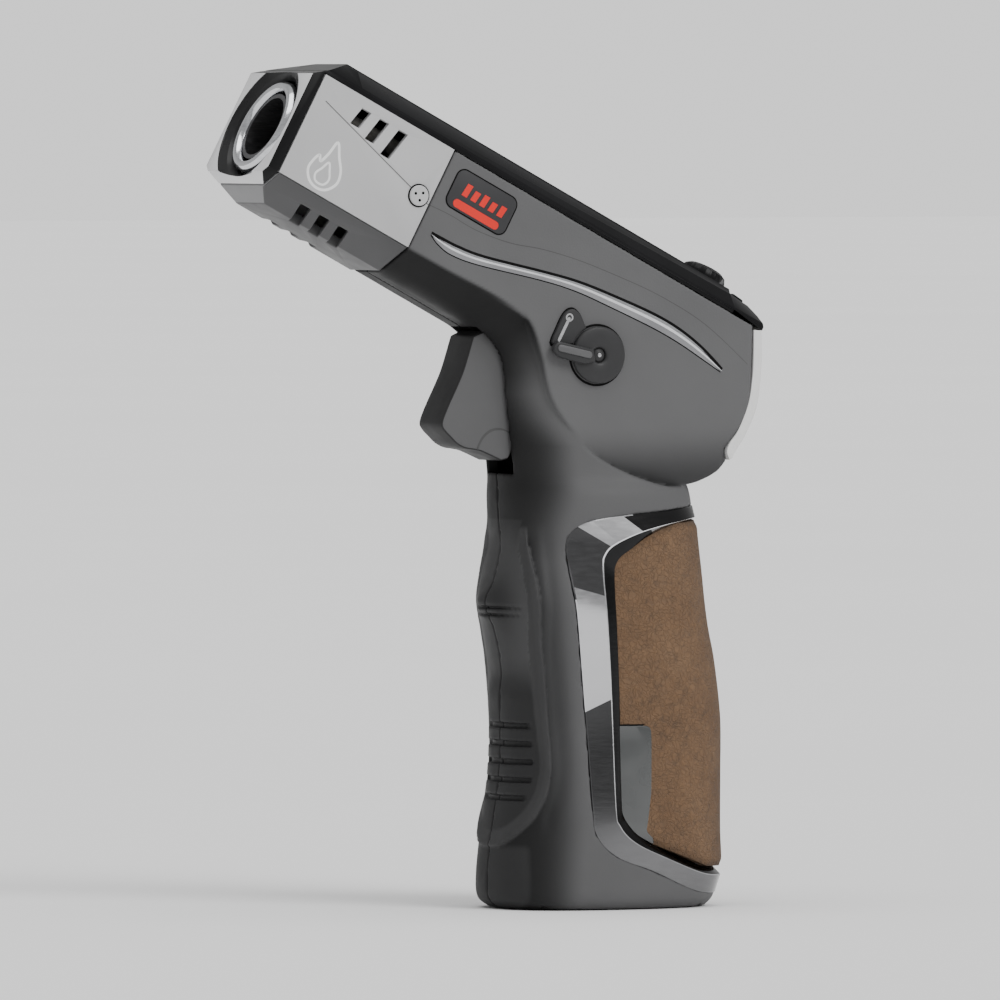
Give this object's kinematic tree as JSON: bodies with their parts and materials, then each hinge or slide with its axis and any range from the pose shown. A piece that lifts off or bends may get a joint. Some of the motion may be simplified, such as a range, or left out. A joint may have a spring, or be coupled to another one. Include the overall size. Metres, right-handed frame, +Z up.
{
  "type": "handheld butane torch",
  "caption": "Pistol-shaped butane torch that stands on its base: slanted barrel with a burner, sliding trigger, lock dial, flame knob, leather-backed grip and a refill valve underneath.",
  "frame": {"origin": "centre of the flat base, on the surface that the torch stands on", "axes": "+Z up, the barrel points towards -X and 28 degrees upwards, +X is the back of the grip, -Y is the side with the lock dial"},
  "size_m": [0.1001, 0.032, 0.1519],
  "materials": {
    "gunmetal": "satin dark grey moulding",
    "dark_shell": "satin near-black moulding",
    "gloss_black": "gloss black",
    "silver_paint": "satin silver",
    "shroud_grey": "satin grey",
    "chrome": "polished",
    "steel": "plain",
    "brass": "turned",
    "ceramic": "unglazed",
    "white_plastic": "off-white",
    "black_plastic": "satin black",
    "badge": null,
    "leather": "grained brown",
    "smoke": "smoked clear plastic",
    "clear_tank": "clear moulded plastic",
    "rubber": "matt",
    "red_wire": "insulation",
    "felt": "felt"
  },
  "bodies": {
    "housing": {"grip_shell_left": "dark_shell", "grip_shell_right": "dark_shell", "side_cover_left": "gunmetal", "side_cover_right": "gunmetal", "grip_frame_left": "chrome", "grip_frame_right": "chrome", "leather_saddle": "leather", "fuel_window_left": "smoke", "fuel_window_right": "smoke", "badge_left": "badge", "badge_right": "badge", "spear_inlay_left": "chrome", "spear_inlay_right": "chrome", "rear_trim": "white_plastic", "top_cover": "gloss_black", "heat_panel_left": "silver_paint", "heat_panel_right": "silver_paint", "panel_screw_left": "steel", "panel_screw_right": "steel", "front_shroud": "shroud_grey", "nose_cap": "gloss_black", "muzzle_ring": "chrome", "burner_tube": "steel", "flame_disc": "brass", "mixing_tube": "brass", "jet_nozzle": "brass", "burner_bracket": "steel", "electrode_insulator": "ceramic", "spark_electrode": "steel", "gas_tube": "rubber", "ignition_lead": "red_wire", "piezo_casing": "black_plastic", "trigger_spring": "steel", "lever_pin": "steel", "fuel_tank": "clear_tank", "tank_cap": "clear_tank", "fuel_wick": "felt", "outlet_valve": "brass", "valve_seal": "rubber", "refill_valve": "brass", "refill_spring": "steel", "base_cover": "black_plastic", "knob_stop": "gloss_black", "housing_screw_head": "steel", "housing_screw_lobe": "steel", "base_screw": "steel"},
    "trigger": {"trigger": "black_plastic"},
    "plunger": {"piezo_plunger": "white_plastic"},
    "lever": {"gas_lever": "steel"},
    "stem": {"valve_stem": "brass"},
    "dial": {"lock_dial": "black_plastic", "lock_pin": "steel"},
    "knob": {"flame_knob": "black_plastic"},
    "refill": {"refill_stem": "brass"}
  },
  "joints": [
    {"name": "trigger_slide", "type": "slide", "parent": "housing", "child": "trigger", "axis": [0.8829, 0, -0.4695], "range_m": [0, 0.005], "stiffness_N_per_m": 1600, "springref_m": -0.001, "deforming": ["trigger_spring"]},
    {"name": "plunger_slide", "type": "slide", "parent": "housing", "child": "plunger", "axis": [0.8829, 0, -0.4695], "range_m": [0, 0.005]},
    {"name": "gas_lever_pivot", "type": "hinge", "parent": "housing", "child": "lever", "pos_m": [-0.003, 0, 0.077], "axis": [0, 1, 0], "range_deg": [0, 9]},
    {"name": "valve_stem_slide", "type": "slide", "parent": "housing", "child": "stem", "axis": [0, 0, 1], "range_m": [0, 0.0008]},
    {"name": "lock_dial_turn", "type": "hinge", "parent": "housing", "child": "dial", "pos_m": [-0.0053, 0, 0.0996], "axis": [0, 1, 0], "range_deg": [0, 50]},
    {"name": "flame_knob_turn", "type": "hinge", "parent": "housing", "child": "knob", "pos_m": [0.01448, 0, 0.0984], "axis": [0.4695, 0, 0.8829], "range_deg": [0, 270]},
    {"name": "refill_stem_slide", "type": "slide", "parent": "housing", "child": "refill", "axis": [0, 0, 1], "range_m": [0, 0.002], "stiffness_N_per_m": 600, "springref_m": -0.001, "deforming": ["refill_spring"]}
  ],
  "couplings": [
    {"joint": "plunger_slide", "follows": "trigger_slide", "ratio": 1},
    {"joint": "gas_lever_pivot", "follows": "trigger_slide", "rad_per_m": 30},
    {"joint": "valve_stem_slide", "follows": "trigger_slide", "ratio": 0.15}
  ]
}
